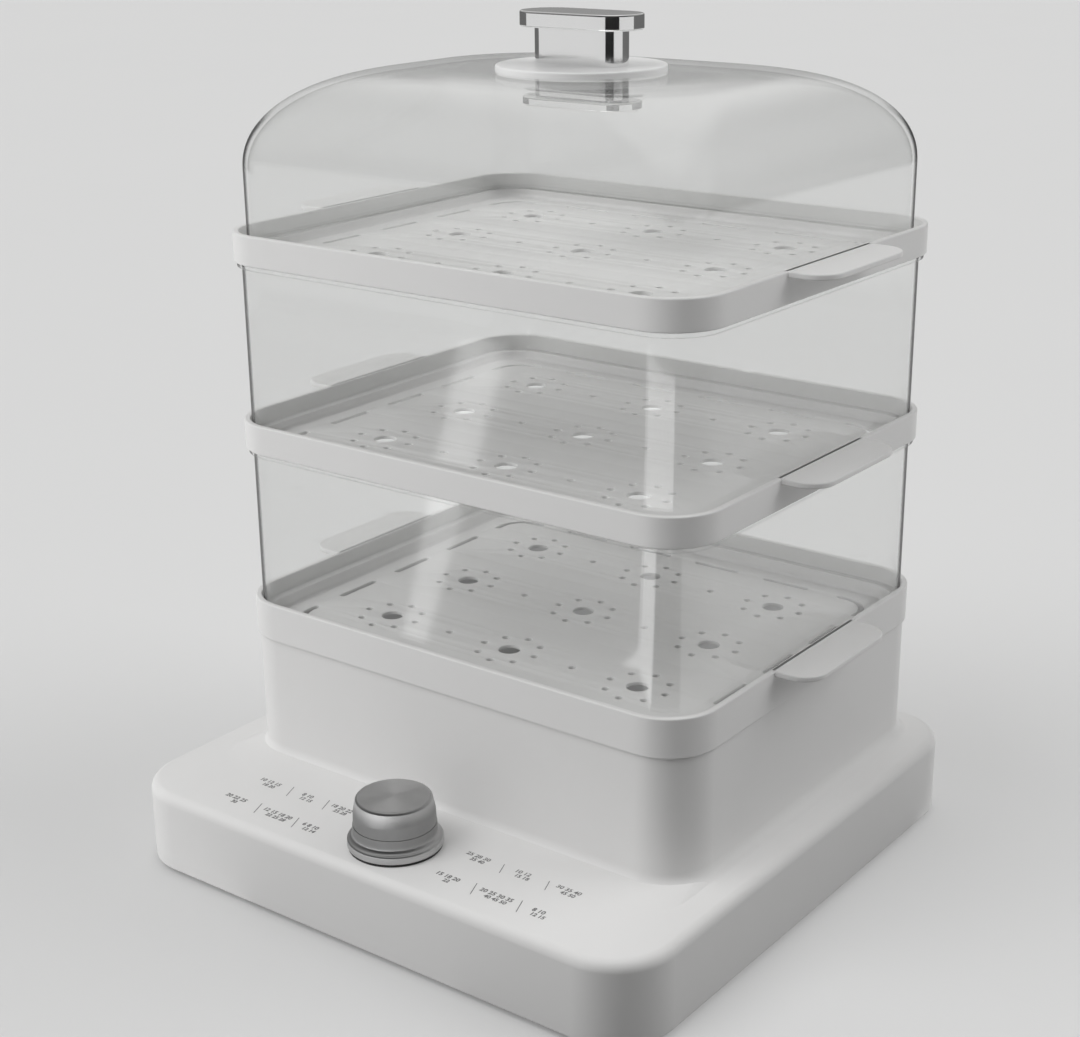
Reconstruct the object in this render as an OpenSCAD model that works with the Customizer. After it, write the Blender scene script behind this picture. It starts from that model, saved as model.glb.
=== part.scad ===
// Electric food steamer: a heated base with a timer knob, three perforated trays, two clear
// chambers between them and a clear domed lid with a metal handle.
// Millimetres, +Z up, front towards -Y. The origin lies on the table, under the middle of the base.

/* [Base] */
// Width of the base slab, left to right
base_w = 341; // [330:1:400]
// Depth of the panel between the slab's front edge and the tower
panel_d = 73; // [66:1:110]
// Height of the base slab
base_h = 45.5; // [43:0.5:60]
// Corner radius of the base slab
base_r = 34; // [24:1:44]
// Rounding along the top edge of the slab
base_edge = 6; // [3:0.5:9]
// Wall thickness of the casing
wall = 2.8; // [2:0.1:3.2]
// Height of the tower above the slab
tower_h = 70; // [66:1:100]
// Distance from the tower's back to the slab's back edge
tower_back = 12; // [8:1:20]

/* [Underside] */
// Gap between the casing and the table
foot_gap = 3; // [2:0.5:6]
// Diameter of a rubber foot
foot_d = 18; // [12:1:24]
// Diameter of a foot's stem in the cover
foot_stem_d = 6; // [4:0.5:8]
// Diameter of the button that holds a foot
foot_button_d = 9; // [8.5:0.5:12]
// Distance of a foot from the slab's edges
foot_in = 48; // [40:1:60]
// Thickness of the bottom cover
cover_t = 2.5; // [2:0.1:4]
// Depth of the cover inside the casing's lower edge
cover_in = 2.2; // [2.1:0.1:4]
// Distance of a cover screw from the slab's edges
boss_in = 20; // [18:1:24]
// Diameter of a screw boss
boss_d = 8; // [7:0.5:10]
// Length of a vent slot in the cover
vent_l = 40; // [20:1:60]
// Width of a vent slot
vent_w = 3.5; // [2:0.5:6]
// Spacing of the vent slots in a row
vent_pitch = 10.5; // [8:0.5:13]
// Gap between the two rows of vent slots
vent_gap = 24; // [12:1:50]
// Number of vent slots in a row
vent_n = 7; // [3:1:11]

/* [Screws] */
// Shank diameter of the casing's screws
screw_d = 3; // [2:0.1:4]
// Head diameter of the casing's screws
screw_head = 6; // [5:0.1:7]
// Head height of the casing's screws
screw_head_h = 1.9; // [1.2:0.1:2]
// Length of a cover screw below its head
cover_screw_l = 14; // [8:1:24]

/* [Trays] */
// Width of a tray's rim
tray_w = 300; // [280:1:310]
// Depth of a tray's rim
tray_d = 251; // [236:1:256]
// Corner radius of a tray's rim
tray_r = 29; // [24:1:40]
// Height of the two upper trays' rims
rim_h = 16; // [14:0.5:24]
// Height of the lowest tray's rim
low_rim_h = 21.3; // [20:0.1:30]
// Thickness of the rim
rim_wall = 3.5; // [2.5:0.1:3.6]
// Depth of the ledge below the rim's top
seat_depth = 9; // [6:0.5:9.5]
// Thickness of the ledge
ledge_t = 2.2; // [1.6:0.1:2.6]
// Depth of the floor below the rim, upper trays
floor_depth = 14; // [12.5:0.1:14]
// Depth of the floor below the rim, lowest tray
low_floor_depth = 16; // [13:0.5:17]
// Thickness of the floor and of the bowl's wall
floor_t = 2; // [1.5:0.1:2]
// Depth of the lowest tray's skirt inside the tower
skirt_depth = 5; // [3:0.5:7]

/* [Tray holes] */
// Length of a slot near the edge
slot_l = 30; // [20:1:36]
// Width of a slot
slot_w = 3.5; // [2:0.1:4]
// Gap between two slots
slot_gap = 18; // [10:1:24]
// Distance of the slots from the rim's outside
slot_in = 22; // [18:0.5:26]
// Radius of the corner slots
slot_r = 16; // [10:1:20]
// Diameter of a rosette's middle hole
hole_d = 12; // [8:0.5:16]
// Diameter of a rosette's small holes
small_d = 4; // [2:0.1:5]
// Radius of a rosette
rosette_r = 17; // [14:0.5:20]
// Spacing of the rosettes, left to right
rosette_x = 84; // [70:1:86]
// Spacing of the rosettes, front to back
rosette_y = 68; // [60:1:69]

/* [Tray grips] */
// Length of a grip along the rim
grip_l = 84; // [60:1:120]
// How far a grip stands out of the rim
grip_out = 22; // [16:1:30]
// Thickness of a grip
grip_t = 3; // [2:0.1:5]
// Corner radius of a grip
grip_r = 14; // [6:1:15]

/* [Chambers] */
// Height of the clear wall that shows between two trays
window_h = 86; // [50:1:140]
// Wall thickness of a chamber
chamber_wall = 2.4; // [1.6:0.1:2.4]
// Distance of a chamber's wall from the rim's outside
chamber_in = 4; // [3.9:0.1:4.5]
// Height of the lip under the next tray
lip_h = 2.4; // [1.5:0.1:4]
// How far the lip stands out of the wall
lip_out = 2.5; // [1:0.1:3]

/* [Lid] */
// Distance of the lid's wall from the rim's outside
lid_in = 7.5; // [5:0.1:9]
// Wall thickness of the lid
lid_wall = 2.4; // [1.6:0.1:3]
// Height of the straight wall above the rim
lid_straight = 31.5; // [20:0.5:60]
// Width of the curved shoulder
shoulder_w = 42; // [25:1:50]
// Height of the curved shoulder
shoulder_h = 43; // [25:1:60]
// Rise of the crown above the shoulder
crown_rise = 6; // [3:0.5:12]
// Squareness of the shoulder, 2 is an ellipse
shoulder_power = 2.2; // [2:0.1:2.6]
// Diameter of the raised pad under the handle
pad_d = 89; // [75:1:100]
// Height of the pad above the crown
pad_h = 2.5; // [1:0.1:4]

/* [Lid handle] */
// Length of the handle's grip plate, which has round ends
plate_l = 71; // [62:1:84]
// Width of the grip plate
plate_w = 33; // [28:1:44]
// Thickness of the grip plate
plate_t = 8; // [5:0.5:12]
// Length of the handle's stem, which has round ends
stem_l = 55; // [46:1:58]
// Width of the stem
stem_w = 20; // [16:1:24]
// Height of the stem
stem_h = 18; // [15:1:30]
// Length of the stem inside the lid
inner_h = 12; // [8:1:20]
// Thickness of the plate inside the lid
inner_t = 4.5; // [4:0.5:8]
// Length of the plate inside the lid
inner_l = 69; // [62:1:82]
// Width of the plate inside the lid
inner_w = 30; // [24:1:36]
// Distance between the two handle screws
handle_pitch = 28; // [22:1:32]
// Diameter of the handle screws
handle_screw_d = 4; // [3:0.1:5]
// Head diameter of the handle screws
handle_head_d = 8; // [6:0.5:9]
// Depth of the handle screws inside the stem
handle_screw_in = 11; // [8:1:13]

/* [Knob] */
// Distance of the knob's axis from the slab's front edge
knob_front = 32; // [31:1:36]
// Diameter of the stepped skirt
skirt_d = 50; // [46:1:52]
// Height of the skirt's flange
flange_h = 5; // [4:0.5:7]
// Height of the skirt's straight rim
skirt_rim = 2.4; // [1.8:0.1:2.6]
// Bevel of the skirt's rim
skirt_edge = 0.8; // [0.3:0.1:1]
// Diameter of the cap at its lower edge
cap_d = 43.5; // [38:0.5:45]
// Diameter of the cap at its top
cap_top_d = 41; // [36:0.5:43]
// Height of the knob above the panel
knob_h = 28; // [24:1:34]
// Rounding of the cap's top edge
cap_edge = 2; // [1:0.1:4]
// Thickness of the metal cap and skirt
metal_t = 1.2; // [0.8:0.1:1.6]
// Gap between the knob and the collar on the panel
knob_gap = 0.4; // [0.3:0.1:1]
// Thickness of the collar on the panel
collar_t = 0.8; // [0.5:0.1:1.5]
// Turn of the timer
timer_turn = 300; // [180:10:330]

/* [Timer] */
// Side of the timer's housing
timer_w = 44; // [38:1:46]
// Height of the timer's housing
timer_h = 22; // [16:1:24]
// Diameter of the timer's shaft
shaft_d = 6; // [5:0.1:8]
// Flat cut of the shaft's upper end
shaft_flat = 1.5; // [0.5:0.1:2]
// Length of the posts that hold the timer
post_h = 6; // [5:0.5:8]
// Thickness of the timer's mounting plate
timer_plate_t = 1.5; // [1:0.1:2]
// Width of the timer's mounting plate
timer_plate_w = 26; // [16:1:40]
// Distance between the two timer screws
timer_pitch = 56; // [54:1:60]

/* [Water tank] */
// Drop of the tank's flange below the tower's top
tank_drop = 12; // [11:0.5:18]
// Depth of the tank
tank_depth = 45; // [38:1:46]
// Wall thickness of the tank
tank_wall = 2.2; // [1.6:0.1:3]
// Width of the ledge that carries the tank
tank_ledge = 4.5; // [3:0.5:7]

/* [Heater] */
// Diameter of the heated plate
heater_d = 100; // [80:1:120]
// Width of the plate's sealing flange
heater_flange = 8; // [6:0.5:10]
// Thickness of the plate's flange
heater_t = 1.5; // [1:0.1:2]
// Thickness of the seal
seal_t = 1.2; // [0.8:0.1:2]
// Radius of the heating tube's ring
coil_r = 34; // [32:1:38]
// Diameter of the heating tube
coil_d = 8; // [6:0.5:9]
// Thickness of the clamp ring
clamp_t = 2; // [1.5:0.1:3]
// Gap between the clamp ring and the plate's raised middle
clamp_gap = 2; // [1:0.5:4]
// Diameter of the thermostat
thermostat_d = 16; // [12:1:18]
// Height of the thermostat
thermostat_h = 7; // [5:0.5:9]
// Gap between the heated plate and the steam ring round it
ring_gap = 6.5; // [1:0.5:12]
// Height of the steam ring
ring_h = 28; // [15:1:30]
// Wall thickness of the steam ring
ring_wall = 2.5; // [1.5:0.1:4]
// Width of the notches in the steam ring's foot
notch_w = 10; // [4:1:20]
// Height of the notches in the steam ring's foot
notch_h = 5; // [3:0.5:10]

/* [Cord inlet] */
// Distance of the cord gland from the slab's right-hand side
gland_side = 65.5; // [56:0.5:110]
// Height of the gland above the casing's lower edge
gland_z = 22; // [18:1:26]
// Bore of the gland
gland_bore = 7; // [6.2:0.1:8]
// Outer diameter of the gland
gland_d = 12; // [11:0.5:14]

/* [Clearances] */
// Gap between parts that lift off each other
clear = 0.3; // [0.25:0.05:0.5]
// Radial gap of a pin or screw in its hole
pin_clear = 0.05; // [0.03:0.01:0.1]

/* [Hidden] */
$fn = 64;
hull_fn = 32;
over = 1;    // how far a cutter passes the face it cuts
slice = 0.1; // thickness of the level sections that a smooth shape is drawn over

// Distances inwards from the outside of a tray's rim; every ring of the stack is one of these
tower_in = 1.5;
tower_wall_in = tower_in + wall;
chamber_inner_in = chamber_in + chamber_wall;
bowl_out_in = chamber_inner_in + clear;
bowl_in = bowl_out_in + floor_t;
skirt_out_in = tower_wall_in + clear;
skirt_in = skirt_out_in + floor_t;
tank_flange_in = tower_wall_in + clear;
ledge_in = tower_wall_in + tank_ledge;
tank_out_in = ledge_in + clear;
tank_in = tank_out_in + tank_wall;

// Heights, from the table upwards
panel_z = foot_gap + base_h;
tower_z = panel_z + tower_h;
low_rim_z = tower_z + low_rim_h;
tray_2_z = low_rim_z + window_h;
rim_2_z = tray_2_z + rim_h;
tray_3_z = rim_2_z + window_h;
rim_3_z = tray_3_z + rim_h;
chamber_top = rim_h - seat_depth - ledge_t; // a chamber's top inside the next tray
chamber_h = seat_depth + window_h + chamber_top;
crown_z = rim_3_z + lid_straight + shoulder_h + crown_rise;
pad_z = crown_z + pad_h;
cover_z = foot_gap + cover_in;
cover_top = cover_z + cover_t;
tank_rim_z = tower_z - tank_drop;
tank_floor_z = tank_rim_z - tank_depth;
tank_bottom_z = tank_floor_z - tank_wall;
seal_z = tank_bottom_z - seal_t;
heater_z = seal_z - heater_t;
clamp_z = heater_z - clamp_t;
post_z = panel_z - wall - post_h;
timer_z = post_z - timer_plate_t - timer_h;

// Places in plan
base_d = panel_d + tray_d - 2*tower_in + tower_back;
stack_y = base_d/2 - tower_back - (tray_d/2 - tower_in);
knob_y = knob_front - base_d/2;
gland_x = base_w/2 - gland_side;
flange_r = heater_d/2 + heater_flange;
ring_d = heater_d + 2*(ring_gap + ring_wall);
clamp_screw_r = flange_r + boss_d/2 + clear;
boss_x = base_w/2 - boss_in;
boss_y = base_d/2 - boss_in;
corners = [[-1, -1], [1, -1], [1, 1], [-1, 1]];

white = [0.86, 0.87, 0.86];
clear_plastic = [0.85, 0.88, 0.9, 0.35];
chrome = [0.75, 0.75, 0.77];
steel = [0.6, 0.61, 0.63];
dark = [0.12, 0.12, 0.13];

// Rectangle with round corners
module rounded(w, d, r) {
    square([w - 2*r, d], center = true);
    square([w, d - 2*r], center = true);
    for (x = [-1, 1], y = [-1, 1])
        translate([x*(w/2 - r), y*(d/2 - r)]) circle(r);
}

// Outline of the stack, drawn inwards from the outside of the trays' rims
module outline(inset) {
    rounded(tray_w - 2*inset, tray_d - 2*inset, tray_r - inset);
}

// Block with the stack's outline, from one height to another
module block(inset, z0, z1) {
    translate([0, stack_y, z0]) linear_extrude(z1 - z0) outline(inset);
}

// Upright wall that follows the stack's outline, between two distances from the outside
module frame_wall(out_in, in_in, z0, z1) {
    translate([0, stack_y, z0]) linear_extrude(z1 - z0) difference() {
        outline(out_in);
        outline(in_in);
    }
}

// Slot with round ends, along X
module slot(l, w, h) {
    linear_extrude(h) {
        square([l - w, w], center = true);
        for (x = [-1, 1]) translate([x*(l - w)/2, 0]) circle(w/2);
    }
}

// Ring between two diameters
module ring(outer_d, inner_d, h) {
    difference() {
        cylinder(d = outer_d, h = h);
        translate([0, 0, -over]) cylinder(d = inner_d, h = h + 2*over);
    }
}

// Screw with its head down and its shank up, from the head's seat
module screw(d, head_d, head_h, l) {
    translate([0, 0, -head_h]) cylinder(d = head_d, h = head_h);
    cylinder(d = d, h = l);
}

// Slab with its top edge rounded in steps, a size in from the base's outline
module slab(inset, z0, z1, edge) {
    module level(z, h, step) {
        in = inset + step;
        translate([0, 0, z]) linear_extrude(h)
            rounded(base_w - 2*in, base_d - 2*in, base_r - in, $fn = hull_fn);
    }
    hull() {
        level(z0, z1 - edge - z0, 0);
        for (a = [15:15:90]) level(z1 - edge*(1 - sin(a)) - slice, slice, edge*(1 - cos(a)));
    }
}

// ---- Base ----

gland_lip = 2.2;   // thickness of the gland's two lips
gland_lip_w = 2.5; // how far its outer lip stands out
gland_pad = 3;     // extra thickness of the wall round the gland
pad_side = gland_d + 12;
shaft_gap = 2;     // free space round the timer's shaft

module gland_at() {
    translate([gland_x, base_d/2, foot_gap + gland_z]) rotate([90, 0, 0]) children();
}

module casing() {
    color(white) difference() {
        union() {
            difference() {
                union() {
                    slab(0, foot_gap, panel_z, base_edge);
                    block(tower_in, panel_z - base_edge, tower_z);
                }
                slab(wall, foot_gap - over, panel_z - wall, max(base_edge - wall, 0.5));
                block(tower_wall_in, panel_z - wall - over, tank_rim_z - ledge_t - tank_wall);
                block(ledge_in, tower_z - tank_drop - ledge_t - tank_wall - over, tower_z);
                block(tower_wall_in, tank_rim_z - tank_wall, tower_z + over);
            }
            for (c = corners) translate([c.x*boss_x, c.y*boss_y, cover_top])
                cylinder(d = boss_d, h = panel_z - wall/2 - cover_top);
            for (x = [-1, 1]) translate([x*timer_pitch/2, knob_y, post_z])
                cylinder(d = boss_d, h = post_h + wall/2);
            // thick place round the cord gland
            gland_at() translate([-pad_side/2, -pad_side/2, wall/2])
                cube([pad_side, pad_side, wall/2 + gland_pad]);
        }
        for (c = corners) translate([c.x*boss_x, c.y*boss_y, cover_top - over])
            cylinder(d = screw_d + 2*pin_clear, h = panel_z - 2*wall - cover_top + over);
        for (x = [-1, 1]) translate([x*timer_pitch/2, knob_y, post_z - over])
            cylinder(d = screw_d + 2*pin_clear, h = post_h + over);
        translate([0, knob_y, post_z]) cylinder(d = shaft_d + 2*shaft_gap, h = panel_z);
        gland_at() {
            translate([0, 0, -over]) {
                cylinder(d = gland_d + 2*pin_clear, h = wall + gland_pad + 2*over);
                cylinder(d = gland_d + 2*gland_lip_w + 2*clear, h = gland_lip + over);
            }
        }
    }
}

cover_edge = wall + 0.4; // distance of the cover from the slab's outside

module base_cover() {
    color(white) difference() {
        translate([0, 0, cover_z]) linear_extrude(cover_t)
            rounded(base_w - 2*cover_edge, base_d - 2*cover_edge, base_r - cover_edge);
        for (c = corners) {
            translate([c.x*boss_x, c.y*boss_y, cover_z - over])
                cylinder(d = screw_d + 2*clear, h = cover_t + 2*over);
            translate([c.x*(base_w/2 - foot_in), c.y*(base_d/2 - foot_in), cover_z - over])
                cylinder(d = foot_stem_d + 2*pin_clear, h = cover_t + 2*over);
        }
        for (row = [-1, 1], i = [0:vent_n - 1])
            translate([row*(vent_l + vent_gap)/2, stack_y + (i - (vent_n - 1)/2)*vent_pitch, cover_z])
                translate([0, 0, -over]) slot(vent_l, vent_w, cover_t + 2*over);
    }
}

// Foot with a stem through the cover and a button above it
module foot(i) {
    c = corners[i - 1];
    color(dark) translate([c.x*(base_w/2 - foot_in), c.y*(base_d/2 - foot_in), 0]) {
        cylinder(d = foot_d, h = cover_z);
        cylinder(d = foot_stem_d, h = cover_top);
        translate([0, 0, cover_top]) cylinder(d = foot_button_d, h = cover_t);
    }
}

module cover_screw(i) {
    c = corners[i - 1];
    color(steel) translate([c.x*boss_x, c.y*boss_y, cover_z])
        screw(screw_d, screw_head, screw_head_h, cover_screw_l);
}

module reservoir() {
    color(white) difference() {
        union() {
            block(tank_flange_in, tank_rim_z - tank_wall, tank_rim_z);
            block(tank_out_in, tank_bottom_z, tank_rim_z - tank_wall/2);
            for (a = [0:90:270]) translate([0, stack_y, heater_z]) rotate(a + 45)
                translate([clamp_screw_r, 0, 0])
                    cylinder(d = boss_d, h = tank_bottom_z - heater_z + tank_wall/2);
        }
        block(tank_in, tank_floor_z, tank_rim_z + over);
        translate([0, stack_y, tank_bottom_z - over])
            cylinder(d = heater_d + 2*clear, h = tank_wall + 2*over);
        for (a = [0:90:270]) translate([0, stack_y, heater_z - over]) rotate(a + 45)
            translate([clamp_screw_r, 0, 0])
                cylinder(d = screw_d + 2*pin_clear, h = tank_bottom_z - heater_z + over + tank_wall/2);
    }
}

module heater_plate() {
    color(steel) translate([0, stack_y, heater_z]) {
        cylinder(r = flange_r, h = heater_t);
        cylinder(d = heater_d, h = tank_floor_z + heater_t/2 - heater_z);
    }
}

module heater_seal() {
    color(dark) translate([0, stack_y, seal_z])
        ring(2*flange_r, heater_d + 2*clear, seal_t);
}

module clamp_ring() {
    color(steel) translate([0, stack_y, clamp_z]) difference() {
        ring(2*(clamp_screw_r + boss_d/2), heater_d + 2*clamp_gap, clamp_t);
        for (a = [0:90:270]) rotate(a + 45) translate([clamp_screw_r, 0, -over])
            cylinder(d = screw_d + 2*clear, h = clamp_t + 2*over);
    }
}

module clamp_screw(i) {
    color(steel) translate([0, stack_y, clamp_z]) rotate(90*i - 45) translate([clamp_screw_r, 0, 0])
        screw(screw_d, screw_head, screw_head_h, clamp_t + heater_t + seal_t);
}

coil_flat = coil_d/2 - 0.8; // the tube is pressed flat against the plate
coil_open = 50;             // angle left open between the tube's ends
coil_leg_d = 4.8;           // the tube's ends turn down and are thinner

module heating_tube() {
    color(steel) translate([0, stack_y, heater_z - coil_flat]) rotate(coil_open/2 - 90) {
        rotate_extrude(angle = 360 - coil_open) translate([coil_r, 0]) intersection() {
            circle(d = coil_d);
            translate([-coil_d, -coil_d]) square([2*coil_d, coil_d + coil_flat]);
        }
        for (a = [0, 360 - coil_open]) rotate(a) translate([coil_r, 0, -coil_d])
            cylinder(d = coil_leg_d, h = coil_d);
    }
}

tab = [0.8, 5, 4];   // contact tab of the thermostat
fuse = [8, 20, 6];   // thermal fuse in its sleeve
fuse_gap = 4;        // distance between the thermostat and the fuse

module thermostat() {
    color(steel) translate([0, stack_y, heater_z - thermostat_h]) {
        cylinder(d = thermostat_d, h = thermostat_h);
        for (x = [-1, 1]) translate([x*thermostat_d/4 - tab.x/2, -tab.y/2, over - tab.z]) cube(tab);
    }
}

module thermal_fuse() {
    color(white) translate([thermostat_d/2 + fuse_gap, stack_y - fuse.y/2, heater_z - fuse.z]) cube(fuse);
}

module timer_body() {
    color(dark) difference() {
        union() {
            translate([-timer_w/2, knob_y - timer_w/2, timer_z]) cube([timer_w, timer_w, timer_h]);
            translate([0, knob_y, timer_z + timer_h])
                linear_extrude(timer_plate_t) rounded(timer_pitch + boss_d, timer_plate_w, screw_d);
        }
        for (x = [-1, 1]) translate([x*timer_pitch/2, knob_y, timer_z + timer_h - over])
            cylinder(d = screw_d + 2*clear, h = timer_plate_t + 2*over);
        translate([0, knob_y, timer_z + timer_h/2])
            cylinder(d = shaft_d + 2*pin_clear, h = timer_h);
    }
}

module timer_screw(i) {
    head = min(screw_head, timer_pitch - timer_w - 2*clear);
    color(steel) translate([(i*2 - 3)*timer_pitch/2, knob_y, post_z - timer_plate_t])
        screw(screw_d, head, screw_head_h, timer_plate_t + post_h - over);
}

collar_in = 0.75; // how far the collar stays inside the skirt's edge

module knob_collar() {
    color(dark) translate([0, knob_y, panel_z])
        ring(skirt_d - 2*collar_in, shaft_d + 4*shaft_gap, collar_t);
}

module cord_gland() {
    color(dark) gland_at() difference() {
        union() {
            cylinder(d = gland_d + 2*gland_lip_w, h = gland_lip);
            cylinder(d = gland_d, h = wall + gland_pad);
            translate([0, 0, wall + gland_pad]) cylinder(d = gland_d + gland_lip_w, h = gland_lip);
        }
        translate([0, 0, -over]) cylinder(d = gland_bore, h = wall + gland_pad + gland_lip + 2*over);
    }
}

terminals = [40, 16, 13]; // size of the terminal block
terminals_back = 85;      // distance of its front face from the slab's back edge
terminal_d = 5;           // diameter of its screw holes

module terminal_block() {
    color(dark) translate([gland_x - terminals.x/2, base_d/2 - terminals_back, cover_top]) difference() {
        cube(terminals);
        for (i = [1:3]) translate([i*terminals.x/4, terminals.y/2, terminals.z/2])
            cylinder(d = terminal_d, h = terminals.z);
    }
}

// ---- Knob: turns about its own upright axis ----

collar_z = panel_z + collar_t + knob_gap; // underside of the knob
core_z = collar_z + flange_h;             // underside of the core's disc, on the skirt
core_top = panel_z + knob_h - metal_t;    // the cap rests on the core
shaft_top = core_top - 5;                 // the shaft ends inside the core
hub_wall = 2.5;                           // wall of the core's hub round the shaft

module timer_shaft() {
    color(steel) difference() {
        translate([0, knob_y, timer_z + timer_h/2 + clear])
            cylinder(d = shaft_d, h = shaft_top - timer_z - timer_h/2 - clear);
        translate([-shaft_d, knob_y + shaft_d/2 - shaft_flat, panel_z + flange_h])
            cube([2*shaft_d, shaft_d, knob_h]);
    }
}

module knob_core() {
    color(dark) translate([0, knob_y, 0]) difference() {
        union() {
            translate([0, 0, core_z]) cylinder(d = cap_top_d - 2*metal_t - 2*clear, h = core_top - core_z);
            translate([0, 0, collar_z]) cylinder(d = shaft_d + 2*hub_wall, h = knob_h/2);
        }
        intersection() {
            translate([0, 0, panel_z]) cylinder(d = shaft_d + 2*pin_clear, h = shaft_top - panel_z + clear);
            translate([-shaft_d, -shaft_d, panel_z])
                cube([2*shaft_d, 1.5*shaft_d - shaft_flat + pin_clear, 2*knob_h]);
        }
        translate([0, 0, collar_z - over])
            cylinder(d = shaft_d + 2*pin_clear, h = panel_z + flange_h + over - collar_z);
    }
}

skirt_reach = 3;  // how far the skirt reaches under the cap
skirt_neck = 1.4; // how far its flare starts from the cap

// Flared ring round the foot of the cap
module knob_skirt() {
    r = skirt_d/2;
    color(chrome) translate([0, knob_y, collar_z]) rotate_extrude() polygon([
        [cap_d/2 - skirt_reach, 0], [r - skirt_edge, 0], [r, skirt_edge], [r, skirt_rim],
        [r - skirt_edge, skirt_rim + skirt_edge],
        [cap_d/2 + skirt_neck, flange_h - skirt_edge], [cap_d/2 + skirt_edge/2, flange_h],
        [cap_d/2 - skirt_reach, flange_h]]);
}

// Spun cap: a tapering cup with a rounded top edge
module knob_cap() {
    h = panel_z + knob_h - core_z;
    color(chrome) translate([0, knob_y, core_z]) rotate_extrude() polygon(concat(
        [[cap_d/2 - metal_t, 0], [cap_d/2, 0]],
        [for (a = [0:15:90]) [cap_top_d/2 - cap_edge*(1 - cos(a)), h - cap_edge*(1 - sin(a))]],
        [[0, h], [0, h - metal_t], [cap_top_d/2 - metal_t, h - metal_t]]));
}

// ---- Steam ring: stands on the tank's floor round the heated plate ----

module steam_ring() {
    color(white) translate([0, stack_y, tank_floor_z]) difference() {
        ring(ring_d, ring_d - 2*ring_wall, ring_h);
        for (a = [0:45:135]) rotate(a + 22.5) translate([-ring_d, -notch_w/2, -over])
            cube([2*ring_d, notch_w, notch_h + over]);
    }
}

// ---- Trays ----

// Slots in a ring near the tray's edge, the four corner ones bent
module edge_slots(h) {
    x = tray_w/2 - slot_in;
    y = tray_d/2 - slot_in;
    arm = 4; // straight end of a corner slot
    run_x = 2*(x - slot_r - arm);
    run_y = 2*(y - slot_r - arm);
    pitch = slot_l + slot_gap;
    n_x = floor((run_x - slot_gap)/pitch);
    n_y = floor((run_y - slot_gap)/pitch);
    for (side = [-1, 1]) {
        for (i = [0:n_x - 1]) translate([(i - (n_x - 1)/2)*pitch, side*y, 0]) slot(slot_l, slot_w, h);
        for (i = [0:n_y - 1]) translate([side*x, (i - (n_y - 1)/2)*pitch, 0])
            rotate(90) slot(slot_l, slot_w, h);
    }
    for (q = [0, 1], m = [0, 1]) mirror([q, 0, 0]) mirror([0, m, 0])
        translate([x - slot_r, y - slot_r, 0]) linear_extrude(h) {
            intersection() {
                difference() {
                    circle(slot_r + slot_w/2);
                    circle(slot_r - slot_w/2);
                }
                square(2*slot_r);
            }
            translate([slot_r - slot_w/2, -arm]) square([slot_w, arm + slice]);
            translate([-arm, slot_r - slot_w/2]) square([arm + slice, slot_w]);
            translate([slot_r, -arm]) circle(slot_w/2);
            translate([-arm, slot_r]) circle(slot_w/2);
        }
}

// Nine rosettes, each a middle hole with eight small ones, and single holes between them
module rosettes(h) {
    for (i = [-1:1], j = [-1:1]) translate([i*rosette_x, j*rosette_y, 0]) {
        cylinder(d = hole_d, h = h);
        for (a = [0:45:315]) rotate(a) translate([rosette_r, 0, 0]) cylinder(d = small_d, h = h);
    }
    for (i = [-1, 1], j = [-1:1]) translate([i*rosette_x/2, j*rosette_y, 0]) cylinder(d = small_d, h = h);
}

// Flat grips in line with the rim's top, one at each side
module grips(h) {
    for (s = [-1, 1]) translate([s*tray_w/2, stack_y, h - grip_t]) intersection() {
        linear_extrude(grip_t) rounded(2*grip_out, grip_l, grip_r);
        translate([s > 0 ? -rim_wall/2 : -2*grip_out, -grip_l, -over])
            cube([2*grip_out + rim_wall/2, 2*grip_l, h]);
    }
}

// Tray from its rim's lower edge up: a rim, a ledge for the wall above, a bowl and a channel
// that drops over the wall below. A low tray also has a skirt inside the tower.
module tray(h, depth, low) {
    bowl_z = h - depth - floor_t;
    difference() {
        union() {
            block(0, 0, h);
            grips(h);
        }
        block(rim_wall, h - seat_depth, h + over);
        block(bowl_in, h - depth, h);
        frame_wall(rim_wall, low ? skirt_out_in : bowl_out_in, -over, h - seat_depth - ledge_t);
        if (bowl_z > 0) block(low ? skirt_in : bowl_out_in, -over, bowl_z);
        translate([0, stack_y, -over]) {
            edge_slots(h);
            rosettes(h);
        }
    }
    if (low) frame_wall(skirt_out_in, skirt_in, -skirt_depth, 0);
}

module tray_1() { color(white) translate([0, 0, tower_z]) tray(low_rim_h, low_floor_depth, true); }
module tray_2() { color(white) translate([0, 0, tray_2_z]) tray(rim_h, floor_depth, false); }
module tray_3() { color(white) translate([0, 0, tray_3_z]) tray(rim_h, floor_depth, false); }

// ---- Chambers: clear walls open above and below, with a lip under the next tray ----

module chamber(z) {
    lip_z = z + seat_depth + window_h - clear - lip_h;
    frame_wall(chamber_in, chamber_inner_in, z, z + chamber_h);
    frame_wall(chamber_in - lip_out, chamber_in + chamber_wall/2, lip_z, lip_z + lip_h);
}

module chamber_1() { color(clear_plastic) chamber(low_rim_z - seat_depth); }
module chamber_2() { color(clear_plastic) chamber(rim_2_z - seat_depth); }

// ---- Lid ----

// The dome rises to a flat crown that carries the pad, and keeps a short straight line at the
// ends of each section
end_l = 1;
crown_in = tray_d/2 - lid_in - pad_d/2 - end_l;

// Height of the dome above the rim at a distance inwards from its wall
function dome_z(d) = lid_straight
    + shoulder_h*pow(1 - pow(1 - min(d/shoulder_w, 1), shoulder_power), 1/shoulder_power)
    + crown_rise*sin(90*d/crown_in);

// Corner radius of the section there, which grows until the section's ends are almost round
function dome_r(d) = min(tray_r - lid_in + d, tray_d/2 - lid_in - d - end_l);

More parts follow.
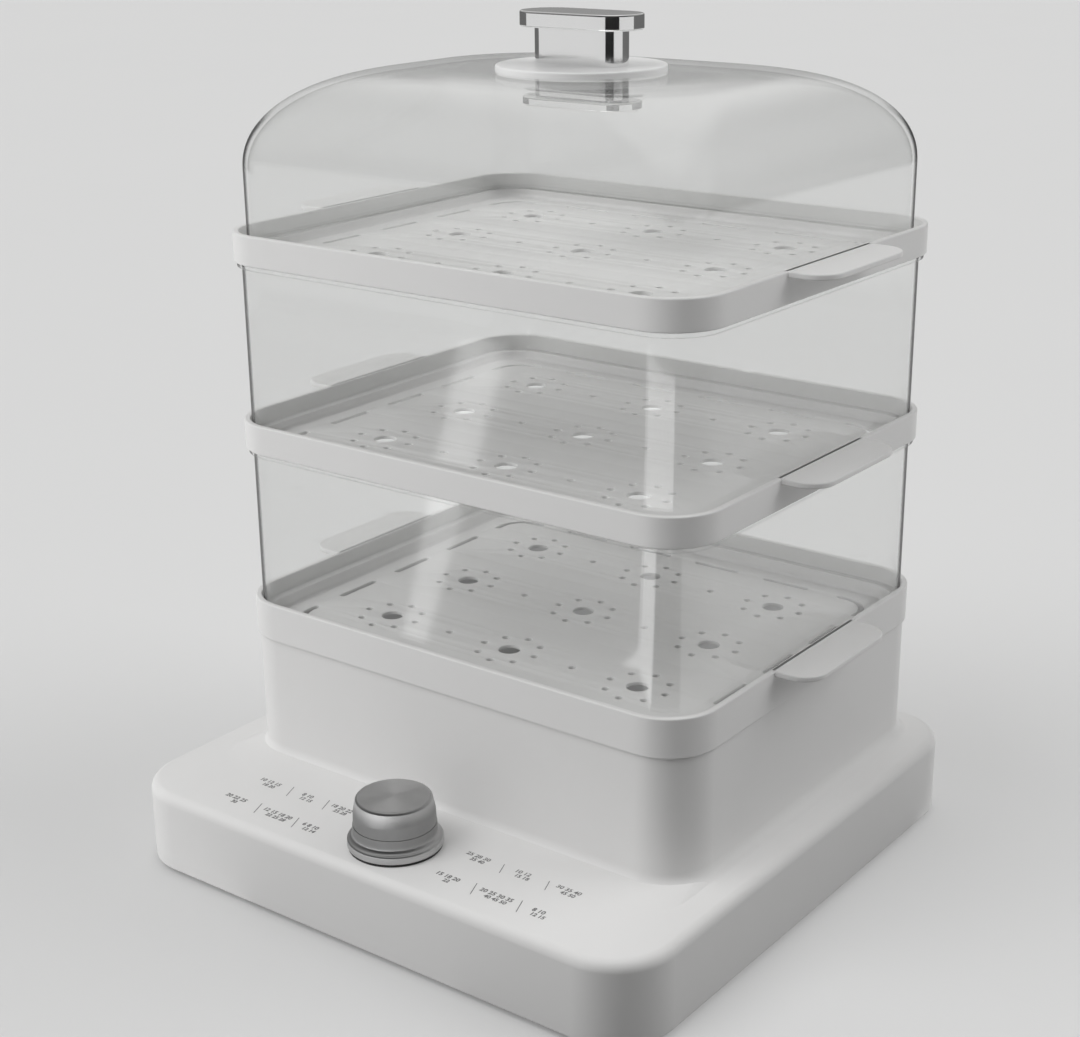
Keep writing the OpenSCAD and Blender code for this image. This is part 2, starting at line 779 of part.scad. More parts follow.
// Distances inwards of the dome's level sections, denser on the shoulder
dome_steps = concat([for (a = [0:10:80]) shoulder_w*(1 - cos(a))],
    [for (t = [0:3]) shoulder_w + (crown_in - shoulder_w)*t/3]);

corner_n = 8; // straight pieces in a corner of a section

// Points of a level rectangle with round corners, counter-clockwise
function section(inset, r, z) = [for (q = [0:3], i = [0:corner_n])
    let (a = 90*q + 90*i/corner_n,
         x = (q == 0 || q == 3 ? 1 : -1)*(tray_w/2 - inset - r),
         y = (q < 2 ? 1 : -1)*(tray_d/2 - inset - r))
    [x + r*cos(a), y + r*sin(a), z]];

// Shell whose skin runs through a list of sections, from the outer one that is lowest round to
// the inner one that is lowest
module skin(sections) {
    n = len(sections[0]);
    m = len(sections);
    top = m/2 - 1; // the outer crown, closed by a flat face, as is the inner one above it
    side = [for (k = [0:m - 1], i = [0:n - 1]) if (k != top)
        [k*n + i, ((k + 1)%m)*n + i, ((k + 1)%m)*n + (i + 1)%n, k*n + (i + 1)%n]];
    polyhedron([for (s = sections) each s], concat(
        [for (f = side) each [[f[0], f[1], f[2]], [f[0], f[2], f[3]]]],
        [[for (i = [n - 1:-1:0]) top*n + i], [for (i = [0:n - 1]) (top + 1)*n + i]]));
}

lid_foot = 2; // thickness of the flange that seats the lid in the tray

module lid_shell() {
    lid_z = rim_3_z - seat_depth;
    r = tray_r - lid_in;
    color(clear_plastic) difference() {
        translate([0, stack_y, 0]) union() {
            skin(concat(
                [section(chamber_in, tray_r - chamber_in, lid_z),
                 section(chamber_in, tray_r - chamber_in, lid_z + lid_foot),
                 section(lid_in, r, lid_z + lid_foot)],
                [for (s = dome_steps) section(lid_in + s, dome_r(s), rim_3_z + dome_z(s))],
                [for (i = [len(dome_steps) - 1:-1:0]) let (s = dome_steps[i])
                    section(lid_in + s + lid_wall, dome_r(s) - lid_wall, rim_3_z + dome_z(s) - lid_wall)],
                [section(lid_in + lid_wall, r - lid_wall, lid_z + 2*lid_foot),
                 section(lid_in + lid_wall, r - lid_wall, lid_z + lid_foot),
                 section(lid_in + lid_wall, r - lid_wall, lid_z)]));
            translate([0, 0, crown_z - lid_wall/2]) cylinder(d = pad_d, h = lid_wall/2 + pad_h);
        }
        for (x = [-1, 1]) translate([x*handle_pitch/2, stack_y, crown_z - 3*lid_wall])
            cylinder(d = handle_screw_d + 2*clear, h = 3*lid_wall + pad_h + over);
    }
}

module handle_stem() {
    color(chrome) translate([0, stack_y, pad_z]) difference() {
        slot(stem_l, stem_w, stem_h);
        for (x = [-1, 1]) translate([x*handle_pitch/2, 0, -over])
            cylinder(d = handle_screw_d + 2*pin_clear, h = handle_screw_in + 2*over);
    }
}

module handle_plate() {
    color(chrome) translate([0, stack_y, pad_z + stem_h]) slot(plate_l, plate_w, plate_t);
}

inner_top = crown_z - lid_wall - clear;
inner_z = inner_top - inner_h - inner_t;

module handle_inner() {
    color(chrome) translate([0, stack_y, inner_z]) difference() {
        union() {
            slot(inner_l, inner_w, inner_t);
            slot(stem_l, stem_w, inner_t + inner_h);
        }
        for (x = [-1, 1]) translate([x*handle_pitch/2, 0, -over]) {
            cylinder(d = handle_screw_d + 2*clear, h = inner_t + inner_h + 2*over);
            cylinder(d = handle_head_d + 2*clear, h = inner_t/2 + over);
        }
    }
}

module handle_screw(i) {
    color(steel) translate([(i*2 - 3)*handle_pitch/2, stack_y, inner_z + inner_t/2])
        screw(handle_screw_d, handle_head_d, inner_t/2, pad_z + handle_screw_in - inner_z - inner_t/2);
}

casing();
base_cover();
reservoir();
heater_plate();
heater_seal();
clamp_ring();
heating_tube();
thermostat();
thermal_fuse();
timer_body();
knob_collar();
cord_gland();
terminal_block();
for (i = [1:4]) {
    foot(i);
    cover_screw(i);
    clamp_screw(i);
}
for (i = [1:2]) {
    timer_screw(i);
    handle_screw(i);
}
timer_shaft();
knob_core();
knob_skirt();
knob_cap();
steam_ring();
tray_1();
chamber_1();
tray_2();
chamber_2();
tray_3();
lid_shell();
handle_stem();
handle_plate();
handle_inner();
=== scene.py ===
# Electric food steamer with three tiers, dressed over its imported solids. Its front is towards -Y.
# Sizes are in millimetres, and times MM in Blender's metres.
import bpy
import bmesh
import math
import numpy as np
from mathutils import Matrix, Vector


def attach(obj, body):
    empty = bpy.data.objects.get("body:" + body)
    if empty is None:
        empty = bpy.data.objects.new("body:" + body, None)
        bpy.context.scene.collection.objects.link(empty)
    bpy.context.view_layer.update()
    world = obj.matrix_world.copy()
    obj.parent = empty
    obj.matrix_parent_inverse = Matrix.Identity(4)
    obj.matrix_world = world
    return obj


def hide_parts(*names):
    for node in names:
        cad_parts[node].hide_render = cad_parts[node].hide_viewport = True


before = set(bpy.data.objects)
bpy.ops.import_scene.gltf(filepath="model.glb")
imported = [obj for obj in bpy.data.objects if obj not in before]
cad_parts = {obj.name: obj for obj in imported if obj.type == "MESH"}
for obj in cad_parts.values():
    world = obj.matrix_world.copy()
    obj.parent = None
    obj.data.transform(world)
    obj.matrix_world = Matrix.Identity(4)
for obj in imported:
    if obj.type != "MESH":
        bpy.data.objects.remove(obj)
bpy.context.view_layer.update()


# Camera: at the photograph's place, a little above the lid, looking down on the right-hand corner.
# Its axes, place and lens were solved from the photograph's edges, and are in metres.
scene = bpy.context.scene
lens_data = bpy.data.cameras.new("camera")
lens_data.sensor_width = 36
lens_data.lens = 63.44
lens_data.shift_x, lens_data.shift_y = -0.0322, 0.0196
lens_data.clip_end = 60
camera = bpy.data.objects.new("camera", lens_data)
right, up = Vector((0.80655, 0.59115, -0.00482)), Vector((-0.19696, 0.27639, 0.94065))
place = Matrix((right, up, right.cross(up))).transposed().to_4x4()
place.translation = (0.59031, -0.77992, 0.52849)
camera.matrix_world = place
scene.collection.objects.link(camera)
scene.camera = camera
scene.view_settings.view_transform = "Standard"


# Studio, in metres: a pale seamless floor, two wide soft lights from above, from the front left and
# the back right, a fill without a shadow that spares the floor, and an even glow around. The glow
# that polished surfaces mirror has levels of its own.
class Socket:
    """One shader socket; arithmetic on it adds the Math node that does the same."""

    def __init__(self, tree, socket):
        self.tree, self.socket = tree, socket

    def maths(self, operation, *values):
        return node(self.tree, "ShaderNodeMath", {"operation": operation}, *values)

    def __add__(self, other): return self.maths("ADD", self, other)
    def __radd__(self, other): return self.maths("ADD", other, self)
    def __sub__(self, other): return self.maths("SUBTRACT", self, other)
    def __rsub__(self, other): return self.maths("SUBTRACT", other, self)
    def __mul__(self, other): return self.maths("MULTIPLY", self, other)
    def __rmul__(self, other): return self.maths("MULTIPLY", other, self)
    def __pow__(self, other): return self.maths("POWER", self, other)
    def __abs__(self): return self.maths("ABSOLUTE", self)

    def clamp(self):
        return node(self.tree, "ShaderNodeClamp", {}, self)

    def between(self, low, high):
        """0 below low, 1 above high, smooth in between."""
        return node(self.tree, "ShaderNodeMapRange", {"interpolation_type": "SMOOTHSTEP"},
                    **{"Value": self, "From Min": low, "From Max": high})


def node(tree, kind, settings, *values, out=0, **named):
    """Adds a node: its settings first, then its sockets by order or by name; returns an output."""
    made = tree.nodes.new(kind)
    for key, value in settings.items():
        setattr(made, key, value)
    by_name = [(made.inputs[key], value) for key, value in named.items()]
    for socket, value in list(zip(made.inputs, values)) + by_name:
        if isinstance(value, Socket):
            tree.links.new(value.socket, socket)
        else:
            socket.default_value = value
    return Socket(tree, made.outputs[out])


def grey(value, warm=0.0):
    """Colour of a screen grey from 0 to 255: its share of 255, to the power 2.2, a touch warmer."""
    level = (value/255)**2.2
    return (level*(1 + warm), level, level*(1 - warm), 1)


world = bpy.data.worlds.new("studio")
world.use_nodes = True
scene.world = world
tree = world.node_tree
tree.nodes.clear()
direction = node(tree, "ShaderNodeTexCoord", {}, out=0)
BACKDROP = grey(213)
GLOW, GLOW_DIM = 0.50, 0.42
HORIZON, SKY, SIDE_DIM, FRONT_DIM = 0.27, 0.5, 0.65, 0.88


def along(tree, vector, axis):
    """How far a vector reaches along an axis: their dot product."""
    return node(tree, "ShaderNodeVectorMath", {"operation": "DOT_PRODUCT"}, vector, axis, out=1)


front_right, sideways, upward = (along(tree, direction, axis)
                                 for axis in ((0.574, -0.819, 0), (0.819, 0.574, 0), (0, 0, 1)))
camera_ray, glossy_ray = (node(tree, "ShaderNodeLightPath", {}, out=i) for i in (0, 3))
dim = front_right.between(0.3, 0.9)
mirrored = ((HORIZON + SKY*upward.between(0.05, 0.34))
            * (1 - SIDE_DIM*abs(sideways).between(0.15, 0.6))
            * (1 - FRONT_DIM*front_right.between(-0.1, 0.7)))
glow = node(tree, "ShaderNodeBackground", {}, (1.0, 1.0, 0.99, 1),
            (1 - glossy_ray)*(GLOW - GLOW_DIM*dim) + glossy_ray*mirrored)
backdrop = node(tree, "ShaderNodeBackground", {}, BACKDROP, 1.0)
mixed = node(tree, "ShaderNodeMixShader", {}, camera_ray, glow, backdrop)
node_out = tree.nodes.new("ShaderNodeOutputWorld")
tree.links.new(mixed.socket, node_out.inputs[0])

for name, energy, spread, falls in (("main_light", 1.05, 42, (0.33, 0.55, -0.9)),
                                    ("back_light", 1.0, 46, (-0.6, -0.5, -0.6))):
    lamp = bpy.data.lights.new(name, "SUN")
    lamp.energy, lamp.angle = energy, math.radians(spread)
    holder = bpy.data.objects.new(name, lamp)
    holder.rotation_euler = Vector(falls).to_track_quat("-Z", "Y").to_euler()
    holder.visible_glossy = False
    scene.collection.objects.link(holder)
fill = bpy.data.lights.new("front_left_light", "AREA")
fill.shape, fill.size, fill.size_y, fill.energy = "RECTANGLE", 0.5, 0.7, 5.6
fill_holder = bpy.data.objects.new("front_left_light", fill)
fill_holder.location = (-0.8, -0.95, 0.62)
fill_holder.rotation_euler = Vector((0.7, 0.95, -0.35)).to_track_quat("-Z", "Y").to_euler()
fill_holder.visible_glossy = fill.use_shadow = False
scene.collection.objects.link(fill_holder)


def principled(name, **constants):
    """A new material with one Principled shader; returns it, its tree and the shader node."""
    material = bpy.data.materials.new(name)
    material.use_nodes = True
    tree = material.node_tree
    shader = tree.nodes["Principled BSDF"]
    for key, value in constants.items():
        shader.inputs[key.replace("_", " ")].default_value = value
    return material, tree, shader


def object_point(tree):
    """The place in object coordinates, which are the part's own metres."""
    return node(tree, "ShaderNodeTexCoord", {}, out=3)


def noise(tree, size, detail=2.0, stretch=(1, 1, 1)):
    """Noise between 0 and 1, with cells of the given size in metres, stretched along an axis."""
    point = object_point(tree)
    if stretch != (1, 1, 1):
        point = node(tree, "ShaderNodeVectorMath", {"operation": "MULTIPLY"}, point, stretch)
    return node(tree, "ShaderNodeTexNoise", {}, Vector=point, Scale=1/size, Detail=detail)


def mix_colour(tree, factor, low, high):
    """Colour between low, where the factor is 0, and high, where it is 1."""
    made = tree.nodes.new("ShaderNodeMix")
    made.data_type = "RGBA"
    for index, value in ((0, factor), (6, low), (7, high)):
        if isinstance(value, Socket):
            tree.links.new(value.socket, made.inputs[index])
        else:
            made.inputs[index].default_value = value
    return Socket(tree, made.outputs[2])


def connect(tree, shader, **inputs):
    """Links sockets to a shader's inputs by name."""
    for key, value in inputs.items():
        tree.links.new(value.socket, shader.inputs[key.replace("_", " ")])


def bump(tree, height, distance, strength=1.0):
    """Normal of a surface whose relief is the height times the distance in metres."""
    return node(tree, "ShaderNodeBump", {}, Strength=strength, Distance=distance, Height=height)


FLOOR_R, FLOOR_SIDES, EVEN_SHARE = 20, 96, 0.3
paper, tree, shader = principled("floor_paper", Roughness=0.75)
connect(tree, shader, Base_Color=mix_colour(tree, noise(tree, 0.5), grey(226), grey(228)),
        Normal=bump(tree, noise(tree, 0.0015), 0.00004))
lit = Socket(tree, shader.outputs[0])
even = node(tree, "ShaderNodeEmission", {}, BACKDROP, 1.0)
camera_ray, glossy_ray, through_ray = (node(tree, "ShaderNodeLightPath", {}, out=i)
                                       for i in (0, 3, 6))
shown = (camera_ray + glossy_ray + through_ray).clamp()
from_above = node(tree, "ShaderNodeMixShader", {}, EVEN_SHARE*shown, lit, even)


def show_from_above(tree, surface):
    """The surface as it is from above, and nothing from below, to let the underside be seen."""
    behind = node(tree, "ShaderNodeNewGeometry", {}, out=6)
    gone = node(tree, "ShaderNodeBsdfTransparent", {})
    seen = node(tree, "ShaderNodeMixShader", {}, behind, surface, gone)
    tree.links.new(seen.socket, tree.nodes["Material Output"].inputs[0])


show_from_above(tree, from_above)
floor_mesh = bpy.data.meshes.new("floor")
turn = np.linspace(0, 2*np.pi, FLOOR_SIDES + 1)[:-1]
floor_mesh.from_pydata((FLOOR_R*np.stack([np.cos(turn), np.sin(turn), 0*turn], 1)).tolist(), [],
                       [list(range(FLOOR_SIDES))])
floor = bpy.data.objects.new("floor", floor_mesh)
floor_mesh.materials.append(paper)
scene.collection.objects.link(floor)
spared = bpy.data.collections.new("not_lit_by_the_fill")
spared.objects.link(floor)
spared.collection_objects[0].light_linking.link_state = "EXCLUDE"
fill_holder.light_linking.receiver_collection = spared


# Flags, dark cards and soft boxes lie on the floor round the object, as in a studio. The flags take
# away some of the light that the floor throws back, and polished surfaces alone mirror the others.
CARD_Z, CARD_STEPS = 0.002, 16


def card(name, radii, angles, colour, strength, seen):
    """Flat sector on the floor between two radii and two angles, measured from the front: radius
    times sine and minus cosine of the angle. Only the rays named see it, and only from above."""
    angle = np.radians(np.linspace(*angles, CARD_STEPS + 1))
    rings = [np.stack([r*np.sin(angle), -r*np.cos(angle), 0*angle + CARD_Z], 1) for r in radii]
    first = np.arange(CARD_STEPS)
    across = first + CARD_STEPS + 1
    mesh = bpy.data.meshes.new(name)
    mesh.from_pydata(np.concatenate(rings).tolist(), [],
                     np.stack([first, across, across + 1, first + 1], 1).tolist())
    material, tree, shader = principled(name, Base_Color=grey(colour), Roughness=0.9,
                                        Emission_Color=(1, 1, 1, 1), Emission_Strength=strength)
    show_from_above(tree, Socket(tree, shader.outputs[0]))
    mesh.materials.append(material)
    made = bpy.data.objects.new(name, mesh)
    for ray in ("camera", "transmission", "volume_scatter", "shadow", "diffuse", "glossy"):
        setattr(made, "visible_" + ray, ray == seen)
    scene.collection.objects.link(made)


card("flag_front", (0.15, 0.6), (-25, 22), 135, 0.0, "diffuse")
card("flag_corner", (0.15, 0.6), (22, 60), 70, 0.0, "diffuse")
card("flag_far", (0.6, 3.0), (15, 65), 12, 0.0, "diffuse")
card("flag_right", (0.15, 0.6), (60, 125), 90, 0.0, "diffuse")
card("dark_near", (0.4, 0.75), (14, 62), 12, 0.0, "glossy")
card("dark_front", (3.0, 19), (12, 62), 12, 0.0, "glossy")
card("dark_back", (3.0, 19), (119, 293), 100, 0.0, "glossy")
card("soft_box_left", (0.4, 1.3), (-36.8, -34.3), 200, 1.5, "glossy")
card("soft_box_low", (0.4, 0.75), (-14, 14), 200, 1.9, "glossy")
card("soft_box_high", (0.75, 1.3), (-14, 44), 200, 1.9, "glossy")


# Base: one white moulding, a flat slab with a control panel in front and the hollow tower that
# holds the water tank behind it. Edges are rounded and a soft fillet joins tower and slab.
MM = 0.001
SLAB_W, SLAB_D, SLAB_R, SLAB_EDGE = 341, 333, 34, 6
FOOT_GAP, PANEL_Z, TOWER_Z, WALL, FILLET_R = 3, 48.5, 118.5, 2.8, 6
TRAY_W, TRAY_D, TRAY_R = 300, 251, 29
STACK_Y, TOWER_IN = 30.5, 1.5


def rounded(points, radii, steps=8, hold=0.25):
    """Closed outline with rounded corners, of steps + 3 points each. A corner's arc has its centre
    on the corner's bisector, radius over the sine of half the angle away; the arc's points are
    weighted means of its two end directions, and a short straight piece follows each end."""
    point = np.asarray(points, float)
    radius = np.maximum(np.broadcast_to(np.asarray(radii, float), len(point)), 1e-3)[:, None]
    back = np.roll(point, 1, 0) - point
    ahead = np.roll(point, -1, 0) - point
    back /= np.linalg.norm(back, axis=1, keepdims=True)
    ahead /= np.linalg.norm(ahead, axis=1, keepdims=True)
    half = np.arccos(np.clip((back*ahead).sum(1), -1, 1))[:, None]/2
    reach = radius/np.tan(half)
    middle = back + ahead
    middle /= np.linalg.norm(middle, axis=1, keepdims=True)
    centre = point + middle*radius/np.sin(half)
    start, end = point + back*reach, point + ahead*reach
    sweep = (np.pi - 2*half)[:, :, None]
    part = np.linspace(0, 1, steps + 1)[None, :, None]
    arc = (np.sin((1 - part)*sweep)*(start - centre)[:, None]
           + np.sin(part*sweep)*(end - centre)[:, None])
    arc = centre[:, None] + arc/np.sin(sweep)
    ends = [(start + back*hold)[:, None], arc, (end + ahead*hold)[:, None]]
    return np.concatenate(ends, axis=1).reshape(-1, 2)


def box_loop(width, depth, radius, centre, height, steps=12):
    """Level loop round a rectangle with rounded corners."""
    corner = np.array([[1, -1], [1, 1], [-1, 1], [-1, -1]])*[width/2, depth/2] + centre
    flat = rounded(corner, radius, steps, hold=0.8)
    return np.column_stack([flat, np.full(len(flat), height)])


def rim_loop(inset, height, steps=12):
    """Level loop that follows the trays' outline at a distance inwards from the rim's outside."""
    return box_loop(TRAY_W - 2*inset, TRAY_D - 2*inset, TRAY_R - inset, (0, STACK_Y), height, steps)


def along_rim(profile, steps=12):
    """A cross-section of (inset, height) points carried along the trays' outline."""
    return np.array([rim_loop(inset, height, steps) for inset, height in profile])


def skin(loops, ring=False):
    """Points and faces of a surface through a stack of equal loops, in metres. A ring closes on
    itself; otherwise a flat face closes each end."""
    count, size = loops.shape[:2]
    k, i = np.meshgrid(np.arange(count if ring else count - 1), np.arange(size), indexing="ij")
    up, on = (k + 1) % count, (i + 1) % size
    faces = np.stack([k*size + i, k*size + on, up*size + on, up*size + i], -1)
    faces = faces.reshape(-1, 4).tolist()
    if not ring:
        faces += [list(range(size))[::-1], list(range((count - 1)*size, count*size))]
    return loops.reshape(-1, 3)*MM, faces


def piece(name, parts, material, body, nodes, sharp=35):
    """One object from several closed skins, smooth except at edges of more than sharp degrees,
    riding on a body, with the nodes it replaces."""
    verts = np.concatenate([p for p, _ in parts])
    starts = np.cumsum([0] + [len(p) for p, _ in parts[:-1]])
    faces = [[int(s) + v for v in face] for s, (_, fs) in zip(starts, parts) for face in fs]
    mesh = bpy.data.meshes.new(name)
    mesh.from_pydata(verts.tolist(), [], faces)
    shape = bmesh.new()
    shape.from_mesh(mesh)
    bmesh.ops.remove_doubles(shape, verts=shape.verts, dist=1e-7)
    bmesh.ops.recalc_face_normals(shape, faces=shape.faces)
    shape.to_mesh(mesh)
    shape.free()
    mesh.polygons.foreach_set("use_smooth", np.ones(len(mesh.polygons), bool))
    mesh.set_sharp_from_angle(angle=math.radians(sharp))
    mesh.materials.append(material)
    made = bpy.data.objects.new(name, mesh)
    scene.collection.objects.link(made)
    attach(made, body)
    if nodes:
        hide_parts(*nodes)


def moulded(name, light, dark, gloss):
    """Satin injection-moulded plastic: faint cloudy colour, fine spark-eroded grain, and a gloss
    that varies a little where hands and the mould have polished it."""
    material, tree, shader = principled(name, IOR=1.49)
    cloud = noise(tree, 0.045, 3.0)
    grain = noise(tree, 0.0007, 1.0)
    connect(tree, shader, Base_Color=mix_colour(tree, cloud, dark, light),
            Roughness=gloss + 0.10*noise(tree, 0.03, 3.0) + 0.05*grain,
            Normal=bump(tree, grain, 0.000012, 0.6))
    return material


white_plastic = moulded("white_plastic", grey(221, 0.004), grey(218, 0.006), 0.32)

# The slices leave out the outlines' helping corners, and keep the edges that are seen.
body_profile = rounded([(0, FOOT_GAP), (0, PANEL_Z), (60, PANEL_Z)], [1, SLAB_EDGE, 1], 10)[11:24]
under = rounded([(0, 30), (0, FOOT_GAP), (WALL, FOOT_GAP)], [1, 0.8, 1], 4)[7:14]


def slab_loop(inset, height):
    """Level loop that follows the slab's outline at a distance inwards."""
    return box_loop(SLAB_W - 2*inset, SLAB_D - 2*inset, SLAB_R - inset, (0, 0), height)


tower_out = rounded([(-40, PANEL_Z), (TOWER_IN, PANEL_Z), (TOWER_IN, TOWER_Z),
                     (TOWER_IN + WALL, TOWER_Z)], [1, FILLET_R, 0.7, 0.7], 8)[11:44]
loops = [slab_loop(WALL, FOOT_GAP + 8)]
loops += [slab_loop(inset, height) for inset, height in under[::-1]]
loops += [slab_loop(inset, height) for inset, height in body_profile]
loops += [rim_loop(inset, height) for inset, height in tower_out]
loops += [rim_loop(TOWER_IN + WALL, height) for height in (TOWER_Z - 20, PANEL_Z + 2)]
loops += [slab_loop(8, PANEL_Z - WALL), slab_loop(WALL, PANEL_Z - 8)]
piece("base_moulding", [skin(np.array(loops), ring=True)], white_plastic, "base", ["casing"])


# Numbers printed on the panel in grey: two rows at each side of the knob, each with three pairs of
# cooking times and thin slanted strokes between them.
ink, tree, shader = principled("grey_print", Roughness=0.5)
connect(tree, shader, Base_Color=mix_colour(tree, noise(tree, 0.0012), grey(104), grey(116)),
        Normal=bump(tree, noise(tree, 0.0004), 0.00001))
PRINT_T, PRINT_BOLD = 0.05, 0.08
FIRST_LINE, SECOND_LINE = (0, 1.8, 4.2), (2, -2.0, 3.8)
STROKE, STROKE_SHIFT = [[1.7, -5], [2.1, -5], [-1.7, 5], [-2.1, 5]], 2.5
marks = []


def made_flat(curve, place):
    """Points in metres and faces of what a flat curve or text makes, moved by a place in
    millimetres; the curve is used up."""
    holder = bpy.data.objects.new(curve.name, curve)
    scene.collection.objects.link(holder)
    evaluated = holder.evaluated_get(bpy.context.evaluated_depsgraph_get())
    mesh = bpy.data.meshes.new_from_object(evaluated)
    points = np.empty(len(mesh.vertices)*3)
    mesh.vertices.foreach_get("co", points)
    points = points.reshape(-1, 3) + np.array(place)*MM
    faces = [list(p.vertices) for p in mesh.polygons]
    bpy.data.objects.remove(holder)
    bpy.data.curves.remove(curve)
    bpy.data.meshes.remove(mesh)
    return points, faces


def printed(text, x, y, size):
    """A line of digits as a thin flat skin on the panel, centred on a point."""
    curve = bpy.data.curves.new("digits", "FONT")
    curve.body, curve.size, curve.align_x, curve.align_y = text, size*MM, "CENTER", "CENTER"
    curve.extrude, curve.resolution_u, curve.offset = PRINT_T*MM, 3, PRINT_BOLD*MM
    return made_flat(curve, [x, y, PANEL_Z])


times = iter([("10 12 15", "18 20"), ("8 10", "12 15"), ("18 20 22", "25 28"),
              ("20 22 25", "30"), ("12 15 18 20", "22 25 28"), ("6 8 10", "12 14"),
              ("25 28 30", "35 40"), ("10 12", "15 18"), ("30 35 40", "45 50"),
              ("15 18 20", "22"), ("20 25 30 35", "40 45 50"), ("8 10", "12 15")])
for xs, y in (((-102, -74, -49), -124), ((-104, -73, -49), -148),
              ((43, 71.5, 100), -121.5), ((43, 74, 100), -146)):
    for x, pair in zip(xs, times):
        for digits, (across, upwards, size) in zip(pair, (FIRST_LINE, SECOND_LINE)):
            marks.append(printed(digits, x + across, y + upwards, size))
    for before, after in zip(xs, xs[1:]):
        foot = np.array(STROKE) + ((before + after)/2 + STROKE_SHIFT, y)
        marks.append(skin(np.array([np.column_stack([foot, np.full(4, PANEL_Z + dz)])
                                    for dz in (-PRINT_T, PRINT_T)])))
piece("panel_numbers", marks, ink, "base", [])


# Underside: a moulded cover with vents closes the slab, held by four screws, and four rubber feet
# carry the object. They keep their solids, as all that is inside the base does.
def carried(material, slot, *names):
    """Gives CAD nodes their material; the slot is not used."""
    for name in names:
        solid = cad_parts[name]
        solid.data.materials.clear()
        solid.data.materials.append(material)


# Bright steel with fine drawn lines and slight stains.
steel, tree, shader = principled("screw_steel", Metallic=1.0)
drawn = noise(tree, 0.003, 2.0, (1, 1, 14))
connect(tree, shader, Base_Color=mix_colour(tree, noise(tree, 0.02, 4.0), grey(176), grey(190)),
        Roughness=0.24 + 0.16*drawn, Normal=bump(tree, drawn, 0.00002, 0.5))
rubber, tree, shader = principled("foot_rubber", IOR=1.5)
speck = noise(tree, 0.0012, 3.0)
connect(tree, shader, Base_Color=mix_colour(tree, speck, grey(38), grey(58)),
        Roughness=0.62 + 0.2*speck, Normal=bump(tree, speck, 0.00006))
carried(white_plastic, "white_plastic", "base_cover")
carried(rubber, "black_rubber", "foot_1", "foot_2", "foot_3", "foot_4")
carried(steel, "steel", "cover_screw_1", "cover_screw_2", "cover_screw_3", "cover_screw_4",
        "timer_screw_1", "timer_screw_2", "clamp_screw_1", "clamp_screw_2", "clamp_screw_3",
        "clamp_screw_4", "clamp_ring")


# Inside the base: timer housing, terminal block and cord gland in black plastic, a bent steel
# heating tube, its steel thermostat and ceramic fuse, and the silicone seal of the heater plate.
black_plastic = moulded("black_plastic", grey(52), grey(44), 0.36)
ceramic, tree, shader = principled("white_ceramic", IOR=1.5)
stained = mix_colour(tree, noise(tree, 0.004, 4.0), grey(205, 0.02), grey(222, 0.02))
connect(tree, shader, Base_Color=stained, Roughness=0.5 + 0.2*noise(tree, 0.002),
        Normal=bump(tree, noise(tree, 0.001, 3.0), 0.00005))
silicone, tree, shader = principled("grey_silicone", IOR=1.43)
connect(tree, shader, Base_Color=mix_colour(tree, noise(tree, 0.006, 3.0), grey(118), grey(130)),
        Roughness=0.45 + 0.2*noise(tree, 0.004), Normal=bump(tree, noise(tree, 0.0009), 0.00003))
carried(black_plastic, "black_plastic", "timer_body", "terminal_block", "cord_gland")
carried(steel, "steel", "timer_shaft", "thermostat", "heating_tube")
carried(ceramic, "ceramic", "thermal_fuse")
carried(silicone, "silicone", "heater_seal")


# Water tank: a satin moulding in the tower with the aluminium heater plate in its floor, and the
# loose white steam ring that stands round the plate.
tank_plastic = moulded("tank_plastic", grey(208), grey(202), 0.28)
plate_metal, tree, shader = principled("heater_aluminium", Metallic=1.0)
ring_line = noise(tree, 0.0012, 2.0)
stain = noise(tree, 0.025, 5.0)
stained = mix_colour(tree, stain.between(0.35, 0.7), grey(196), grey(174, 0.03))
connect(tree, shader, Base_Color=stained, Roughness=0.26 + 0.14*ring_line + 0.1*stain,
        Normal=bump(tree, ring_line, 0.00003, 0.5))
carried(tank_plastic, "tank_plastic", "reservoir")
carried(plate_metal, "aluminium", "heater_plate")
carried(white_plastic, "white_plastic", "steam_ring")


# Timer knob: a cap spun from bright metal, with a finely turned face and a side painted darker, a
# painted shade that stands in for dark reflections, over a flared, stepped skirt. A plastic core
# holds both on the timer's shaft, over a collar on the panel.
KNOB_Y, KNOB_Z, KNOB_TOP = -134.5, 49.7, 76.5
CAP_R, CAP_TOP_R, SKIRT_R, SKIRT_NECK_R = 21.7, 19.7, 24.9, 21.75


def spun(profile, centre, steps=96):
    """Loops of a profile of (radius, height) points turned round an upright axis."""
    angle = np.linspace(0, 2*np.pi, steps + 1)[:-1]
    radius, height = profile[:, :1], profile[:, 1:]
    return np.stack([centre[0] + radius*np.cos(angle), centre[1] + radius*np.sin(angle),
                     height + 0*angle], -1)


